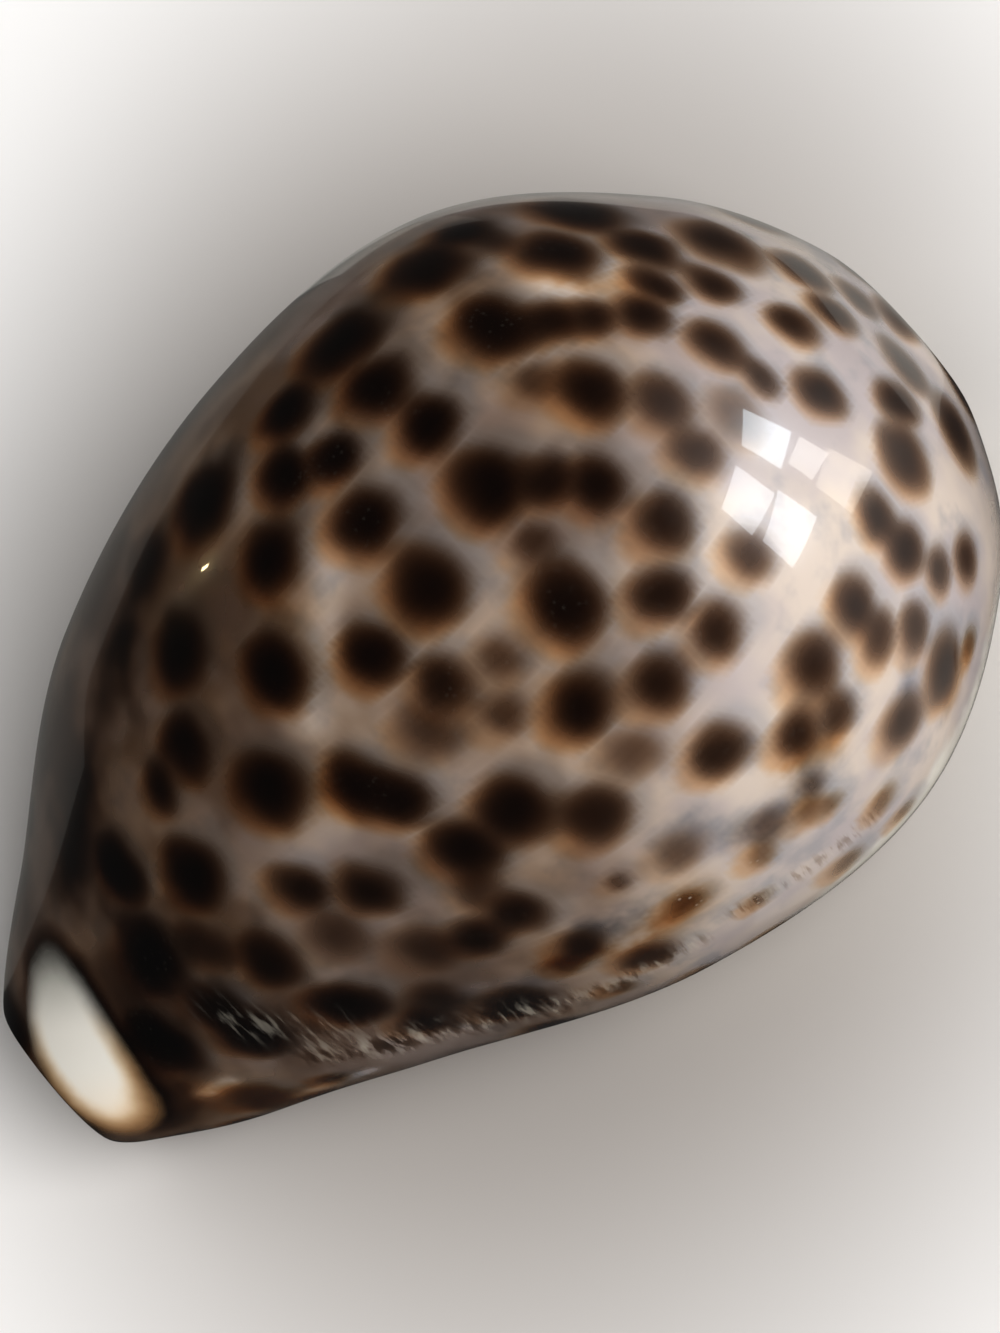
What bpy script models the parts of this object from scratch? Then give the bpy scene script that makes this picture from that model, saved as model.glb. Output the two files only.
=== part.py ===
"""Tiger cowrie shell: one hollow, humped shell, rolled in along its base to a long toothed slit.

Metres, +Z up. +X points to the narrow front (anterior) end and +Y to the columellar side.
The shell rests on its base at z = 0, with the origin under the middle of its box.

Every cross-section is one C: an outside ring and an inside ring, joined at the two lips of the slit.
The C's change along the shell, and at both ends the two rings close on each other round a canal.
"""

import bmesh
import bpy
import numpy as np

MM = 0.001
SHELL_LENGTH = 80 * MM

# Stations run from the rear (posterior) end at 0 to the front (anterior) end at 1.
# They crowd towards the ends, where the shell turns fastest.
STATIONS = (0, 0.08, 0.2, 0.35, 0.5, 0.65, 0.8, 0.92, 1)

# Millimetres at those stations. Widths are measured from the crest line, heights from the table,
# and "waist" is the height at which the section is widest.
OUTSIDE = {
    "crest": (-1.3, -1.1, -1.0, -1.2, -1.2, -2.1, -1.7, -1.5, -1.5),
    "labral": (5.0, 9.3, 17.6, 25.0, 24.9, 20.1, 11.6, 7.0, 5.2),
    "columellar": (5.4, 9.1, 18.7, 27.5, 26.4, 19.1, 10.6, 7.5, 5.9),
    "top": (12.4, 16.5, 27.4, 41.0, 42.0, 31.6, 17.8, 12.4, 11.4),
    "waist": (6.5, 7.5, 9.0, 11.0, 11.5, 10.0, 7.5, 6.5, 6.2),
    "base": (3.9, 1.7, 0.1, -0.7, -0.8, -0.7, 0.1, 1.6, 3.8),
}
INSIDE = {
    "crest": (-0.9, -0.5, -1.3, -1.9, -1.9, -2.7, -2.3, -2.2, -1.8),
    "labral": (2.8, 3.9, 13.4, 22.4, 22.5, 17.5, 8.7, 4.0, 3.1),
    "columellar": (2.8, 3.9, 12.8, 21.6, 21.2, 16.0, 8.3, 4.0, 3.1),
    "top": (8.4, 11.0, 23.0, 38.2, 39.5, 28.8, 14.6, 9.2, 8.2),
    "waist": (6.2, 7.2, 12.0, 16.0, 16.5, 13.5, 9.2, 7.0, 6.2),
    "base": (5.0, 4.9, 5.6, 5.9, 5.9, 5.7, 5.3, 4.9, 4.9),
}
SLIT = {
    "centre": (-0.7, -0.2, -0.6, -2.8, -4.1, -4.3, -3.5, -2.4, -1.7),
    "half_gap": (1.9, 1.9, 1.7, 1.9, 2.2, 2.6, 3.1, 2.5, 2.1),
}

BACK_ROUNDNESS = 2.05  # exponent of the superellipse over the back: 2 is an ellipse
BASE_ROUNDNESS = 2.6  # and under the base, which is flatter
BLEND = 0.3  # how softly the quarters of a ring run into each other
RIM_SHARE = 0.11  # share of the stations over which an end's rim is rounded
SETBACK = {-1: 0.5 * MM, 1: 0.3 * MM}  # how far the back's rim lies behind the lips, at rear and front
CORNER = 1.8 * MM  # how far each lip's end is rounded off towards the slit

LIP_REACH = {-1: 4.2 * MM, 1: 3.8 * MM}  # width of the roll of the labral and the columellar lip
TEETH = 24  # along each lip
TOOTH_SHIFT = {-1: 0, 1: 0.5}  # the columellar teeth face the gaps between the labral ones
TOOTH_DEPTH = {-1: 0.95 * MM, 1: 0.85 * MM}  # depth of the grooves between the teeth
TOOTHED = (-33 * MM, 32 * MM)  # where along the shell the teeth begin and end
TOOTH_FADE = 2.7 * MM

# Thickened margins near the ends: side, station, its spread, angle from straight down, its spread, height.
CALLUSES = (
    (1, 0.79, 0.075, np.radians(66), np.radians(24), 1.2 * MM),
    (-1, 0.8, 0.06, np.radians(66), np.radians(24), 0.9 * MM),
    (1, 0.13, 0.06, np.radians(66), np.radians(24), 0.7 * MM),
    (-1, 0.13, 0.06, np.radians(66), np.radians(24), 0.7 * MM),
)
# The sunken spire: station and angle of its middle, their spreads, and its depth.
SPIRE = (0.1, np.radians(205), 0.035, np.radians(20), 1.2 * MM)

END_STEPS = 6  # steps along the shell from either end to the teeth, and between them one for each tooth
LIP_STEPS = 4  # the lips have this many for each of those
BACK_STEPS = 32  # steps round the outside from lip to lip; the inside has half as many
LIP_TUCKS = (1, 0.75, 0.5, 0.22)  # rows on a lip, from its edge in the slit (1) towards the base (0)


def along(values, u):
    """A smooth curve through the values, in millimetres, at the stations; u is the place along it."""
    at = np.array(STATIONS, float)
    y = np.array(values, float) * MM
    slope = np.gradient(y, at)
    slope[0] = 1.5 * (y[1] - y[0]) / (at[1] - at[0]) - 0.5 * slope[1]
    slope[-1] = 1.5 * (y[-1] - y[-2]) / (at[-1] - at[-2]) - 0.5 * slope[-2]
    i = np.clip(np.searchsorted(at, u, side="right") - 1, 0, len(at) - 2)
    span = at[i + 1] - at[i]
    t = (u - at[i]) / span
    start = (2 * t**3 - 3 * t**2 + 1) * y[i] + (t**3 - 2 * t**2 + t) * span * slope[i]
    finish = (3 * t**2 - 2 * t**3) * y[i + 1] + (t**3 - t**2) * span * slope[i + 1]
    return start + finish


def ease(low, high, x):
    """0 below low, 1 above high, and a smooth step between."""
    t = np.clip((x - low) / (high - low), 0, 1)
    return t * t * (3 - 2 * t)


def radius(wall, u, angle):
    """Distance from the section's centre to a ring, at an angle from straight down towards the labral side.

    Each quarter of the ring is a superellipse, and neighbouring quarters blend into each other.
    """
    sideways, upward = np.abs(np.sin(angle)), -np.cos(angle)

    def quarter(width, height, power):
        return (np.abs(sideways / width) ** power + np.abs(upward / height) ** power) ** (-1 / power)

    labral, columellar = along(wall["labral"], u), along(wall["columellar"], u)
    waist = along(wall["waist"], u)
    over, under = along(wall["top"], u) - waist, waist - along(wall["base"], u)
    labral_share = ease(-BLEND, BLEND, np.sin(angle))
    rings = [
        labral_share * quarter(labral, height, power) + (1 - labral_share) * quarter(columellar, height, power)
        for height, power in ((over, BACK_ROUNDNESS), (under, BASE_ROUNDNESS))
    ]
    back_share = ease(-BLEND, BLEND, upward)
    return back_share * rings[0] + (1 - back_share) * rings[1]


def relief(u, angle):
    """What the outside ring gains at the callused margins and loses at the spire."""
    gain = 0
    for side, station, spread, tilt, tilt_spread, height in CALLUSES:
        middle = tilt if side < 0 else 2 * np.pi - tilt
        gain = gain + height * np.exp(-(((u - station) / spread) ** 2) - ((angle - middle) / tilt_spread) ** 2)
    station, middle, spread, tilt_spread, depth = SPIRE
    return gain - depth * np.exp(-(((u - station) / spread) ** 2) - ((angle - middle) / tilt_spread) ** 2)


def ring_point(wall, u, angle):
    """(y, z) on a ring."""
    r = radius(wall, u, angle)
    if wall is OUTSIDE:
        r = r + relief(u, angle)
    return along(wall["crest"], u) - r * np.sin(angle), along(wall["waist"], u) - r * np.cos(angle)


def angle_at(wall, u, y):
    """The angle at which the lower half of a ring passes y, found by a few corrections."""
    sideways = along(wall["crest"], u) - y
    width = np.where(sideways > 0, along(wall["labral"], u), along(wall["columellar"], u))
    share = np.clip(np.abs(sideways) / width, 0, 0.999)
    down = (along(wall["waist"], u) - along(wall["base"], u)) * (1 - share**BASE_ROUNDNESS) ** (1 / BASE_ROUNDNESS)
    for _ in range(6):
        angle = np.arctan2(sideways, down)
        down = radius(wall, u, angle) * np.cos(angle)
    return angle


def x_at(u, angle, tuck=0):
    """Place along the shell: at both ends the back's rim lies a little behind the lips, which have round corners."""
    way = -np.cos(np.pi * u)
    setback = np.where(way < 0, SETBACK[-1], SETBACK[1]) * (1 - np.cos(angle)) / 2
    corner = CORNER * (1 - np.cos(tuck * np.pi / 2))
    return way * (SHELL_LENGTH / 2 - (setback + corner) * way**12)


def station_at(x):
    """The station at a place along the shell."""
    return np.arccos(-2 * np.array(x) / SHELL_LENGTH) / np.pi


def stations(steps):
    """Stations of the points of a line along the shell, with so many steps to a tooth."""
    first, last = station_at(TOOTHED)
    return np.concatenate(
        [
            np.linspace(0, first, END_STEPS * steps, endpoint=False),
            station_at(np.linspace(*TOOTHED, TEETH * steps, endpoint=False)),
            np.linspace(last, 1, END_STEPS * steps + 1),
        ]
    )


def lip_start(wall, side, u):
    """How far from the slit's edge a lip begins to roll: less where the canal's wall is thin."""
    width = along(wall["labral" if side < 0 else "columellar"], u)
    room = 0.5 * (width - along(SLIT["half_gap"], u))
    return LIP_REACH[side] * np.tanh(room / LIP_REACH[side])


def lip_height(wall, side, u):
    """Height of a ring above the slit's edge."""
    y = along(SLIT["centre"], u) + side * along(SLIT["half_gap"], u)
    return ring_point(wall, u, angle_at(wall, u, y))[1]


def groove(side, u):
    """Depth of the lip's grooves at u: 0 on a tooth's crest."""
    x = x_at(u, 0)
    first, last = TOOTHED
    count = TEETH * (x - first) / (last - first) + TOOTH_SHIFT[side]
    ends = ease(first, first + TOOTH_FADE, x) * (1 - ease(last - TOOTH_FADE, last, x))
    return TOOTH_DEPTH[side] * ends * (0.5 - 0.5 * np.cos(2 * np.pi * count))


def rim(u):
    """How far the shell's wall has opened to its full thickness: 0 at both ends."""
    return np.sin(np.pi / 2 * np.clip(np.minimum(u, 1 - u) / RIM_SHARE, 0, 1))


def lip_line(wall, side, tuck, u):
    """Points on a lip: tuck 0 is where it leaves the ring, and 1 its edge in the slit."""
    turn = tuck * np.pi / 2
    y = along(SLIT["centre"], u) + side * (along(SLIT["half_gap"], u) + lip_start(wall, side, u) * (1 - np.sin(turn)))
    angle = angle_at(wall, u, y)
    edge = (lip_height(OUTSIDE, side, u) + lip_height(INSIDE, side, u)) / 2
    z = ring_point(wall, u, angle)[1] + (edge - lip_height(wall, side, u)) * rim(u) * (1 - np.cos(turn))
    cut = groove(side, u) * ease(LIP_TUCKS[-1], 0.8, tuck)
    into_lip = 1 if wall is OUTSIDE else -1
    return np.stack([x_at(u, angle, tuck), y + side * cut * np.sin(turn), z + into_lip * cut * np.cos(turn)], axis=-1)


def back_line(wall, share, u):
    """Points on a ring away from the lips: share 0 is at the labral lip and 1 at the columellar lip."""
    ends = []
    for side in (-1, 1):
        y = along(SLIT["centre"], u) + side * (along(SLIT["half_gap"], u) + lip_start(wall, side, u))
        ends.append(angle_at(wall, u, y))
    angle = ends[0] + share * (ends[1] + 2 * np.pi - ends[0])
    y, z = ring_point(wall, u, angle)
    return np.stack([x_at(u, angle), y, z], axis=-1)


def shell_line(wall, part, place, steps):
    """One line of points along the shell, from the rear end to the front end.

    The inside line leaves the outside one at the ends, so that the rims there are round.
    """
    u = stations(steps)
    shape = {
        "labral": lambda ring: lip_line(ring, -1, place, u),
        "back": lambda ring: back_line(ring, place, u),
        "columellar": lambda ring: lip_line(ring, 1, place, u),
    }[part]
    points = shape(OUTSIDE)
    if wall is INSIDE:
        return points + rim(u)[:, None] * (shape(INSIDE) - points)
    points[:, 2] = np.maximum(points[:, 2], 0)
    return points


def places(back_steps):
    """(part, place on it, steps to a tooth) of the lines round a ring, from the labral lip to the columellar one."""
    lips = [(tuck, LIP_STEPS) for tuck in LIP_TUCKS]
    yield from (("labral", *lip) for lip in lips)
    yield from (("back", i / back_steps, 1) for i in range(back_steps + 1))
    yield from (("columellar", *lip) for lip in reversed(lips))


def bridge(bm, a, b, rear=(), front=()):
    """Faces between two lines of vertices, one of which may be finer.

    At the ends, rear and front hold the vertices, if any, that lie between those of the two lines.
    """
    fine, coarse = (a, b) if len(a) >= len(b) else (b, a)
    ratio = (len(fine) - 1) // (len(coarse) - 1)
    last = len(coarse) - 2
    for i in range(last + 1):
        loop = [*fine[i * ratio : (i + 1) * ratio + 1], *(front if i == last else ())]
        bm.faces.new([*loop, coarse[i + 1], coarse[i], *(rear if i == 0 else ())])


def build_shell():
    """The shell's mesh: the lines round the outside, then those round the inside, which share the lips' edges."""
    bm = bmesh.new()
    outside = []
    for part, place, steps in places(BACK_STEPS):
        outside.append([bm.verts.new(point) for point in shell_line(OUTSIDE, part, place, steps)])
    for a, b in zip(outside, outside[1:]):
        bridge(bm, a, b)

    before, reached = outside[0], 0
    for part, place, steps in list(places(BACK_STEPS // 2))[1:]:
        step = 2 if part == "back" and place > 0 else 1
        reached += step
        own = outside[reached]
        line = own
        if own is not outside[-1]:
            inner = shell_line(INSIDE, part, place, steps)[1:-1]
            line = [own[0], *(bm.verts.new(point) for point in inner), own[-1]]
        skipped = outside[reached - 1 : reached] if step == 2 else []
        bridge(bm, before, line, [o[0] for o in skipped], [o[-1] for o in skipped])
        before = line

    # At a corner of the slit the outside and inside faces would share two edges, so the corner's point goes.
    corners = [line[i] for line in (outside[0], outside[-1]) for i in (0, -1)]
    bmesh.ops.dissolve_verts(bm, verts=corners)
    bmesh.ops.recalc_face_normals(bm, faces=bm.faces)
    mesh = bpy.data.meshes.new("shell")
    bm.to_mesh(mesh)
    bm.free()
    mesh.shade_smooth()
    return mesh


def shell_material():
    """Glossy enamel, in the mean colour of the spotted back."""
    material = bpy.data.materials.new("enamel")
    material.use_nodes = True
    shader = material.node_tree.nodes["Principled BSDF"]
    shader.inputs["Base Color"].default_value = (0.38, 0.27, 0.2, 1)
    shader.inputs["Roughness"].default_value = 0.12
    shader.inputs["Metallic"].default_value = 0
    return material


def main():
    for obj in list(bpy.data.objects):
        bpy.data.objects.remove(obj)
    mesh = build_shell()
    mesh.materials.append(shell_material())
    bpy.context.scene.collection.objects.link(bpy.data.objects.new("shell", mesh))


main()
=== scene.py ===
# A tiger cowrie shell lying on its base, back up: one closed surface with its toothed slit,
# painted from spot fields that are stored on it, under a soft window.

from math import cos, pi, radians, sin

import bpy
import numpy as np
from mathutils import Matrix, Vector
from mathutils.bvhtree import BVHTree


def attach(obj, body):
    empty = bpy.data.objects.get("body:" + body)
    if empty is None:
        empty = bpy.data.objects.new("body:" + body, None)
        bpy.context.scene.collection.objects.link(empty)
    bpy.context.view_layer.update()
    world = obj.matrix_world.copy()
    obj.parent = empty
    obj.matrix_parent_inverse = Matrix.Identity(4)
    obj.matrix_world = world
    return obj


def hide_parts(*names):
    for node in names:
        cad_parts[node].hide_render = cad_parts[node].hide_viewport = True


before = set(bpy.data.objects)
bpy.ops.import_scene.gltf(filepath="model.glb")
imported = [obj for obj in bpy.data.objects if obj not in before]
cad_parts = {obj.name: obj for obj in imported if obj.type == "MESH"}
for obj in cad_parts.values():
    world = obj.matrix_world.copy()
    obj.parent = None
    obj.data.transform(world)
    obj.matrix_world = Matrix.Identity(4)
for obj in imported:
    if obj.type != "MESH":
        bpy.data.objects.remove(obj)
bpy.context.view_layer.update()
scene = bpy.context.scene
mm = 0.001
print("frame loaded")

# The camera

photoView = {
    "azimuth": 180.9,  # degrees round the shell; 0 looks along +Y
    "elevation": 66.0,
    "roll": -41.8,
    "distance": 230.0,  # mm from the target
    "target": (-2.9, 3.5, 20.0),  # mm
    "focalPixels": 3455.0,
    "width": 1000,
    "height": 1333,
    "sensor": 36.0,  # mm along the frame's long side
}


# The camera's place (mm) and its right, up and back directions: the view turned by its azimuth,
# raised by its elevation, then rolled about its own axis.
def viewAxes(view):
    a, e, r = (radians(view[name]) for name in ("azimuth", "elevation", "roll"))
    back = np.array([sin(a) * cos(e), -cos(a) * cos(e), sin(e)])
    level = np.cross(-back, [0, 0, 1])
    level /= np.linalg.norm(level)
    upright = np.cross(level, -back)
    right = level * cos(r) + upright * sin(r)
    up = upright * cos(r) - level * sin(r)
    return np.array(view["target"]) + back * view["distance"], right, up, back


def makeCamera(view):
    place, right, up, back = viewAxes(view)
    lens = bpy.data.cameras.new("camera")
    lens.sensor_width = view["sensor"]
    lens.lens = view["focalPixels"] / view["height"] * view["sensor"]
    lens.clip_start = 0.01
    camera = bpy.data.objects.new("camera", lens)
    scene.collection.objects.link(camera)
    turn = Matrix(np.array([right, up, back]).T.tolist()).to_4x4()
    camera.matrix_world = Matrix.Translation(place * mm) @ turn
    scene.camera = camera


# Where the camera's ray through a pixel goes, as a unit vector.
def pixelRay(view, x, y):
    _, right, up, back = viewAxes(view)
    ray = right * (x - view["width"] / 2) - up * (y - view["height"] / 2) - back * view["focalPixels"]
    return ray / np.linalg.norm(ray)


makeCamera(photoView)
print("camera placed")

# The shell's shape, in millimetres. Its tables are read at stations along it, rear end first.

shell = {
    "length": 80.0,
    "stations": (0, 0.08, 0.2, 0.35, 0.5, 0.65, 0.8, 0.92, 1),
    "outside": {
        "crest": (-1.3, -1.1, -1.0, -1.2, -1.2, -2.1, -1.7, -1.5, -1.5),
        "labral": (5.0, 9.3, 17.6, 25.0, 24.9, 20.1, 11.6, 7.0, 5.2),
        "columellar": (5.4, 9.1, 18.7, 27.5, 26.4, 19.1, 10.6, 7.5, 5.9),
        "top": (12.4, 16.5, 27.4, 41.0, 42.0, 31.6, 17.8, 12.4, 11.4),
        "waist": (6.5, 7.5, 9.0, 11.0, 11.5, 10.0, 7.5, 6.5, 6.2),
        "base": (3.9, 1.7, 0.1, -0.7, -0.8, -0.7, 0.1, 1.6, 3.8),
    },
    "inside": {
        "crest": (-0.9, -0.5, -1.3, -1.9, -1.9, -2.7, -2.3, -2.2, -1.8),
        "labral": (2.8, 3.9, 13.4, 22.4, 22.5, 17.5, 8.7, 4.0, 3.1),
        "columellar": (2.8, 3.9, 12.8, 21.6, 21.2, 16.0, 8.3, 4.0, 3.1),
        "top": (8.4, 11.0, 23.0, 38.2, 39.5, 28.8, 14.6, 9.2, 8.2),
        "waist": (6.2, 7.2, 12.0, 16.0, 16.5, 13.5, 9.2, 7.0, 6.2),
        "base": (5.0, 4.9, 5.6, 5.9, 5.9, 5.7, 5.3, 4.9, 4.9),
    },
    "slitCentre": (-0.7, -0.2, -0.6, -2.8, -4.1, -4.3, -3.5, -2.4, -1.7),
    "slitHalfGap": (1.9, 1.9, 1.7, 1.9, 2.2, 2.6, 3.1, 2.5, 2.1),
    "backRoundness": 2.05,  # superellipse exponents over the back and under the base
    "baseRoundness": 2.6,
    "blend": 0.3,  # how softly the quarters of a ring run into each other
    "rimShare": 0.11,  # of the stations, at either end, over which the wall grows to its thickness
    "setback": {-1: 0.5, 1: 0.3},  # how far the back's rim lies behind the lips, at rear and front
    "corner": 1.8,  # rounding of each lip's end
    "lipReach": {-1: 4.2, 1: 3.8},  # width of the roll of the labral (-1) and columellar (1) lip
    "teeth": 24,
    "toothShift": {-1: 0, 1: 0.5},  # in teeth
    "toothDepth": {-1: 0.95, 1: 0.85},
    "toothed": (-33.0, 32.0),  # from the first tooth to the last, along the shell
    "toothFade": 2.7,  # over which the grooves fade there
    "toothTuck": (0.22, 0.8),  # shares of the way round the lip where the grooves begin and are full
    # side, station, its spread, angle from straight down, its spread, height
    "calluses": (
        (1, 0.79, 0.075, radians(66), radians(24), 1.2),
        (-1, 0.8, 0.06, radians(66), radians(24), 0.9),
        (1, 0.13, 0.06, radians(66), radians(24), 0.7),
        (-1, 0.13, 0.06, radians(66), radians(24), 0.7),
    ),
    "spire": (0.1, radians(205), 0.035, radians(20), 1.2),  # station, angle, their spreads, depth
    "endSteps": 28,  # points along the shell from either end to the teeth
    "stepsPerTooth": 6,
    "lipRows": 12,  # rows round each lip
    "backRows": 220,  # rows over the back, from lip to lip
    "restSoftness": 0.25,  # how softly the base flattens where it rests
}


# Cubic Hermite curve through a table's values at the stations, with slopes from their differences.
def along(values, u):
    at, y = np.array(shell["stations"], float), np.array(values, float)
    slope = np.gradient(y, at)
    slope[0] = 1.5 * (y[1] - y[0]) / (at[1] - at[0]) - 0.5 * slope[1]
    slope[-1] = 1.5 * (y[-1] - y[-2]) / (at[-1] - at[-2]) - 0.5 * slope[-2]
    i = np.clip(np.searchsorted(at, u, side="right") - 1, 0, len(at) - 2)
    span = at[i + 1] - at[i]
    t = (u - at[i]) / span
    start = (2 * t**3 - 3 * t**2 + 1) * y[i] + (t**3 - 2 * t**2 + t) * span * slope[i]
    return start + (3 * t**2 - 2 * t**3) * y[i + 1] + (t**3 - t**2) * span * slope[i + 1]


# 0 below low, 1 above high, and three t squared less two t cubed between.
def ease(low, high, x):
    t = np.clip((x - low) / (high - low), 0, 1)
    return t * t * (3 - 2 * t)


# Distance from a section's centre to its ring at an angle from straight down, towards the labral side:
# (|sin/width|^p + |cos/height|^p)^(-1/p) in each quarter, with the quarters eased into each other.
def ringRadius(ring, u, angle):
    sideways, upward = np.abs(np.sin(angle)), -np.cos(angle)

    def quarter(width, height, power):
        return (np.abs(sideways / width) ** power + np.abs(upward / height) ** power) ** (-1 / power)

    labral, columellar, waist = (along(ring[name], u) for name in ("labral", "columellar", "waist"))
    labralShare = ease(-shell["blend"], shell["blend"], np.sin(angle))

    def half(height, power):
        labralPart = labralShare * quarter(labral, height, power)
        return labralPart + (1 - labralShare) * quarter(columellar, height, power)

    over = half(along(ring["top"], u) - waist, shell["backRoundness"])
    under = half(waist - along(ring["base"], u), shell["baseRoundness"])
    backShare = ease(-shell["blend"], shell["blend"], upward)
    return backShare * over + (1 - backShare) * under


# Bell-shaped swellings at the margins, less a bell-shaped dip at the spire: height * exp(-du^2 - dangle^2).
def relief(u, angle):
    gain = 0
    for side, station, spread, tilt, tiltSpread, height in shell["calluses"]:
        middle = tilt if side < 0 else 2 * pi - tilt
        gain = gain + height * np.exp(-(((u - station) / spread) ** 2) - ((angle - middle) / tiltSpread) ** 2)
    station, middle, spread, tiltSpread, depth = shell["spire"]
    return gain - depth * np.exp(-(((u - station) / spread) ** 2) - ((angle - middle) / tiltSpread) ** 2)


def ringPoint(ring, u, angle):
    r = ringRadius(ring, u, angle) + (relief(u, angle) if ring is shell["outside"] else 0)
    return along(ring["crest"], u) - r * np.sin(angle), along(ring["waist"], u) - r * np.cos(angle)


# The angle at which a ring's lower half passes y: a first guess from the superellipse, then corrected.
def angleAt(ring, u, y):
    sideways = along(ring["crest"], u) - y
    width = np.where(sideways > 0, along(ring["labral"], u), along(ring["columellar"], u))
    share, power = np.clip(np.abs(sideways) / width, 0, 0.999), shell["baseRoundness"]
    down = (along(ring["waist"], u) - along(ring["base"], u)) * (1 - share**power) ** (1 / power)
    for _ in range(6):
        angle = np.arctan2(sideways, down)
        down = ringRadius(ring, u, angle) * np.cos(angle)
    return angle


# x = -cos(pi u) times half the length, less the setback of the back's rim and the lips' round corners,
# which both fade away from the ends with the twelfth power.
def placeAlong(u, angle, tuck=0):
    way = -np.cos(pi * u)
    setback = np.where(way < 0, shell["setback"][-1], shell["setback"][1]) * (1 - np.cos(angle)) / 2
    corner = shell["corner"] * (1 - np.cos(tuck * pi / 2))
    return way * (shell["length"] / 2 - (setback + corner) * way**12)


def stationAt(x):
    return np.arccos(-2 * np.array(x) / shell["length"]) / pi


def slitEdge(side, u):
    return along(shell["slitCentre"], u) + side * along(shell["slitHalfGap"], u)


# Reach of a lip's roll: its full width, less where the canal's wall is thin (a tanh of the room).
def lipStart(ring, side, u):
    width = along(ring["labral" if side < 0 else "columellar"], u)
    room = 0.5 * (width - along(shell["slitHalfGap"], u))
    return shell["lipReach"][side] * np.tanh(room / shell["lipReach"][side])


# The wall's share of its full thickness: a quarter sine over the rim's share of the stations, 0 at both ends.
def rim(u):
    return np.sin(pi / 2 * np.clip(np.minimum(u, 1 - u) / shell["rimShare"], 0, 1))


# Grooves between the teeth: half of one less the cosine, once per tooth, faded at both ends of the row.
def groove(side, u):
    x = placeAlong(u, 0)
    first, last = shell["toothed"]
    count = shell["teeth"] * (x - first) / (last - first) + shell["toothShift"][side]
    fade = shell["toothFade"]
    ends = ease(first, first + fade, x) * (1 - ease(last - fade, last, x))
    return shell["toothDepth"][side] * ends * (0.5 - 0.5 * np.cos(2 * pi * count))


# A lip from the ring (tuck 0) to its edge in the slit (tuck 1): a quarter of an ellipse laid on the ring.
def lipSurface(ring, side, tuck, u):
    turn = tuck * pi / 2
    y = slitEdge(side, u) + side * lipStart(ring, side, u) * (1 - np.sin(turn))
    angle = angleAt(ring, u, y)

    def edgeHeight(wall):
        return ringPoint(wall, u, angleAt(wall, u, slitEdge(side, u)))[1]

    edge = (edgeHeight(shell["outside"]) + edgeHeight(shell["inside"])) / 2
    z = ringPoint(ring, u, angle)[1] + (edge - edgeHeight(ring)) * rim(u) * (1 - np.cos(turn))
    cut = groove(side, u) * ease(*shell["toothTuck"], tuck)
    inward = 1 if ring is shell["outside"] else -1
    x = placeAlong(u, angle, tuck)
    return np.stack([x, y + side * cut * np.sin(turn), z + inward * cut * np.cos(turn)], -1), angle


# A ring away from the lips, by the share of the way from the labral lip to the columellar one.
def backSurface(ring, share, u):
    ends = [angleAt(ring, u, slitEdge(side, u) + side * lipStart(ring, side, u)) for side in (-1, 1)]
    angle = ends[0] + share * (ends[1] + 2 * pi - ends[0])
    y, z = ringPoint(ring, u, angle)
    return np.stack([placeAlong(u, angle), y, z], -1), angle


# One wall of the shell, outside or inside, from lip to lip, as points (rows, columns, 3) and their angles.
def wallGrid(ring, u):
    tucks = np.linspace(1, 0, shell["lipRows"], endpoint=False)[:, None]
    shares = np.linspace(0, 1, shell["backRows"])[:, None]
    station = u[None, :]
    labral, labralAngle = lipSurface(ring, -1, tucks, station)
    back, backAngle = backSurface(ring, shares, station)
    columellar, columellarAngle = lipSurface(ring, 1, tucks[::-1], station)
    angles = np.concatenate([labralAngle, backAngle, columellarAngle + 2 * pi])
    return np.concatenate([labral, back, columellar]), angles


# The whole surface: the inside wall leaves the outside one at the ends with the rim's share,
# and shares its points along both lips and both ends, so the surface is closed.
def shellSurface():
    first, last = stationAt(shell["toothed"])
    x = np.linspace(*shell["toothed"], shell["teeth"] * shell["stepsPerTooth"], endpoint=False)
    ends = shell["endSteps"]
    rear, front = np.linspace(0, first, ends, endpoint=False), np.linspace(last, 1, ends + 1)
    u = np.concatenate([rear, stationAt(x), front])
    outside, angles = wallGrid(shell["outside"], u)
    inside = wallGrid(shell["inside"], u)[0]
    inside = outside + rim(u)[None, :, None] * (inside - outside)
    soft = shell["restSoftness"]
    outside[..., 2] = (outside[..., 2] + np.sqrt(outside[..., 2] ** 2 + soft**2)) / 2
    rows, columns = angles.shape
    index = np.arange(rows * columns).reshape(rows, columns)
    innerIndex = index.copy()
    innerIndex[1:-1, 1:-1] = rows * columns + np.arange((rows - 2) * (columns - 2)).reshape(rows - 2, -1)

    def quads(grid, flip):
        corners = [grid[:-1, :-1], grid[1:, :-1], grid[1:, 1:], grid[:-1, 1:]]
        return np.stack(corners[::-1] if flip else corners, -1).reshape(-1, 4)

    faces = np.concatenate([quads(index, True), quads(innerIndex, False)])
    # The slit's four corner points would join two faces along two edges, so those faces leave them out.
    corners = index[[0, 0, -1, -1], [0, -1, 0, -1]]
    spoilt = np.isin(faces, corners).any(axis=1)
    triangles = [[int(point) for point in face if point not in corners] for face in faces[spoilt]]
    points = np.concatenate([outside.reshape(-1, 3), inside[1:-1, 1:-1].reshape(-1, 3)])
    stations = np.broadcast_to(u, angles.shape)
    return points, faces[~spoilt].tolist() + triangles, angles, stations


points, faces, angles, stations = shellSurface()
mesh = bpy.data.meshes.new("cowrie")
mesh.from_pydata(points * mm, [], faces)
mesh.update()
mesh.shade_smooth()
cowrie = bpy.data.objects.new("cowrie", mesh)
scene.collection.objects.link(cowrie)
print("shell surface made:", len(mesh.polygons), "faces")

# The markings. Spots are round on the shell. Where the photograph shows one, its middle and its half width
# were read there, in pixels, and its middle is cast from the camera on to the shell.

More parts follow.
